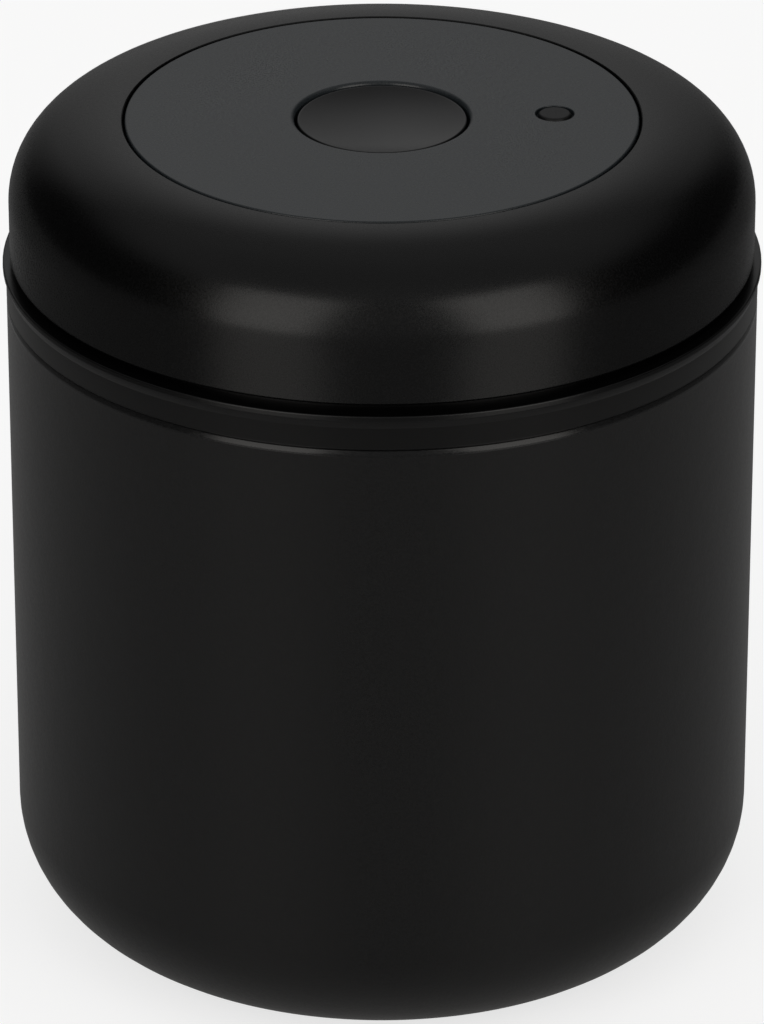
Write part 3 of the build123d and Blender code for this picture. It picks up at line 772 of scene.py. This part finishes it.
dish_sphere = (button_radius**2 + button_dish**2) / (2 * button_dish)
underside = button_top - button_dish - button_crown
dish = []
for step in range(1, dish_steps + 1):
    radius = button_radius * (1 - step / dish_steps)
    dish.append((radius, button_top - button_dish + dish_sphere - sqrt(dish_sphere**2 - radius**2)))
button_shape = turned(
    rounded(
        [
            (0, underside),
            (boss_bore, underside),
            (boss_bore, underside - boss_length),
            (boss_radius, underside - boss_length),
            (boss_radius, underside),
            (button_radius - button_wall, underside),
            (button_radius - button_wall, button_top - button_skirt),
            (button_radius, button_top - button_skirt, button_round / 2),
            (button_radius, button_top, button_round),
        ]
        + dish
    )
)
button_plastic = grained(
    "button_plastic", dark=button_dark, pale=button_pale, grain=0.0002, depth=0.000003, roughness=(0.20, 0.26)
)
button_piece = finished(button_shape, "release_button", [button_plastic])
fitted(button_piece, "button", "button_plastic", "button_cap")


# Indicator dot
# Small black pin that stands level with the disc. When the canister holds a vacuum it sinks, and the green
# sleeve round it shows.
dot_low, dot_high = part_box("indicator_pin")
dot_radius = 0.0026
dot_round = 0.00045
dot_foot_radius = dot_high.x - dot_circle
dot_foot_height = 0.0015

dot_shape = turned(
    rounded(
        [
            (0, dot_low.z),
            (dot_foot_radius, dot_low.z, dot_round),
            (dot_foot_radius, dot_low.z + dot_foot_height, dot_round),
            (dot_radius, dot_low.z + dot_foot_height),
            (dot_radius, dot_high.z, dot_round),
            (dot_round, dot_high.z),
            (0, dot_high.z),
        ]
    ),
    steps=dot_steps,
)
bmesh.ops.transform(dot_shape, matrix=at_dot, verts=dot_shape.verts)
dot_plastic = grained(
    "dot_plastic", dark=button_dark, pale=button_pale, grain=0.0002, depth=0.000004, roughness=(0.40, 0.50)
)
dot_piece = finished(dot_shape, "indicator_dot", [dot_plastic])
fitted(dot_piece, "indicator", "button_plastic", "indicator_pin")
green_plastic = grained(
    "green_plastic",
    dark=(0.022, 0.32, 0.055, 1),
    pale=(0.030, 0.40, 0.070, 1),
    grain=0.0004,
    depth=0.000002,
    roughness=(0.16, 0.24),
)
clad(green_plastic, "indicator_sleeve")


# Main gasket
# Soft black silicone ring between two ribs of the plug, moulded with two rounded lips that wipe the steel.
gasket_low, gasket_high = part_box("main_gasket")
gasket_inner = 0.05465
gasket_outer = 0.05635
lip_slope = 0.0011
lip_flat = 0.0004
lip_round = 0.00015
lip_steps = 4

gasket_corners = [(gasket_inner, gasket_low.z)]
for bottom in (gasket_low.z, (gasket_low.z + gasket_high.z) / 2):
    gasket_corners += [
        (gasket_outer, bottom, lip_round),
        (gasket_high.x, bottom + lip_slope, lip_round),
        (gasket_high.x, bottom + lip_slope + lip_flat, lip_round),
        (gasket_outer, bottom + lip_slope + 2 * lip_flat, lip_round),
    ]
gasket_corners += [(gasket_outer, gasket_high.z, lip_round), (gasket_inner, gasket_high.z)]
silicone = grained(
    "silicone",
    dark=(0.0060, 0.0060, 0.0062, 1),
    pale=(0.0110, 0.0110, 0.0112, 1),
    grain=0.0008,
    depth=0.000004,
    roughness=(0.42, 0.55),
)
gasket_piece = finished(turned(rounded(gasket_corners, steps=lip_steps)), "lip_gasket", [silicone])
fitted(gasket_piece, "lid", "silicone", "main_gasket")


# Filter cover and pad
# Black moulded cap, pushed over the ring under the plug, with rings of round holes through its floor. A disc
# of pale felt lies on that floor and keeps coffee dust out of the valve.
cover_low, cover_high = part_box("filter_cover")
cover_radius = cover_high.x
cover_wall = 0.00145
cover_floor = 0.002
cover_round = 0.0012
hole_radius = 0.0013
hole_round = 0.0002
hole_pitch = 0.0048
hole_rings = 5
holes_per_ring_step = 6
hole_steps = 20
mouth_steps = 3

cover_inner = cover_radius - cover_wall
cover_floor_top = cover_low.z + cover_floor
cover_face_radius = cover_radius - cover_round - 2 * guard
cover_shape = turned(
    rounded(
        [
            (cover_face_radius, cover_low.z),
            (cover_radius, cover_low.z, cover_round),
            (cover_radius, cover_high.z, hole_round),
            (cover_inner, cover_high.z, hole_round),
            (cover_inner, cover_floor_top),
        ]
    ),
    closed=False,
)
hole_places = [(0, 0)]
for ring in range(1, hole_rings + 1):
    for place in range(holes_per_ring_step * ring):
        angle = 2 * pi * place / (holes_per_ring_step * ring)
        hole_places.append((hole_pitch * ring * cos(angle), hole_pitch * ring * sin(angle)))
mouth = hole_radius + hole_round + 2 * guard
for x, y in hole_places:
    hole = turned(
        rounded(
            [(hole_radius, cover_floor_top), (hole_radius, cover_low.z, hole_round), (mouth, cover_low.z)],
            steps=mouth_steps,
        ),
        steps=hole_steps,
        closed=False,
    )
    joined(cover_shape, hole, Matrix.Translation((x, y, 0)))
level_face(
    cover_shape,
    cover_low.z,
    [(cover_face_radius, spin_steps, 0, 0)] + [(mouth, hole_steps, x, y) for x, y in hole_places],
)
level_face(
    cover_shape,
    cover_floor_top,
    [(cover_inner, spin_steps, 0, 0)] + [(hole_radius, hole_steps, x, y) for x, y in hole_places],
)
cover_piece = finished(cover_shape, "perforated_cover", [lid_plastic])
fitted(cover_piece, "lid", "lid_plastic", "filter_cover")
felt = grained(
    "felt",
    dark=(0.42, 0.41, 0.38, 1),
    pale=(0.72, 0.70, 0.66, 1),
    grain=0.00025,
    depth=0.00008,
    roughness=(0.85, 0.95),
)
clad(felt, "filter_pad")


# Pump, hub and indicator chamber
# Dark grey mouldings that hold the mechanism: the slotted hub, the carrier plate with the button's well, the
# pump's cylinder and the lower half of the indicator chamber.
frame_plastic = grained(
    "frame_plastic",
    dark=(0.018, 0.018, 0.020, 1),
    pale=(0.026, 0.026, 0.029, 1),
    grain=0.0005,
    depth=0.000006,
    roughness=(0.36, 0.48),
)
clad(frame_plastic, "hub_frame", "disc_carrier", "pump_cylinder", "indicator_cup")


# Sliding pieces
# Natural white acetal, which runs without grease: the cam ring, its glide ring, the piston and its yoke, and
# the valve stem.
acetal = grained(
    "acetal",
    dark=(0.66, 0.65, 0.60, 1),
    pale=(0.76, 0.75, 0.70, 1),
    grain=0.0006,
    depth=0.000004,
    roughness=(0.26, 0.36),
)
clad(acetal, "cam_ring", "glide_ring", "pump_piston", "piston_yoke", "valve_stem")


# Seals and valves
# Black silicone like the main gasket: the piston's seals, the flap valves, the poppet, the diaphragm and the
# tube to the indicator.
clad(
    silicone,
    "cylinder_seal",
    "piston_outer_seal",
    "piston_inner_seal",
    "inlet_valve",
    "exhaust_valve",
    "valve_poppet",
    "indicator_diaphragm",
    "indicator_tube",
)


# Screws, pins and springs
# Plain bright steel: zinc-plated screws, ground cam pins and wound springs.
bright_steel = grained(
    "bright_steel",
    dark=(0.52, 0.52, 0.54, 1),
    pale=(0.62, 0.62, 0.64, 1),
    grain=0.0003,
    depth=0.000002,
    roughness=(0.20, 0.34),
    Metallic=1,
)
clad(bright_steel, "hub_screws", "carrier_screws", "cam_screws", "cam_pins")


def sprung(node, name):
    """Piece with the shape of a spring's CAD node, in bright steel, that rides on the lid and stands for that
    node.
    """
    spring = bpy.data.objects.new(name, nodes[node].data.copy())
    spring.data.materials.clear()
    spring.data.materials.append(bright_steel)
    bpy.context.scene.collection.objects.link(spring)
    fitted(spring, "lid", "bright_steel", node)
    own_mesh(spring)


sprung("button_spring", "button_coil")
sprung("indicator_spring", "dot_coil")
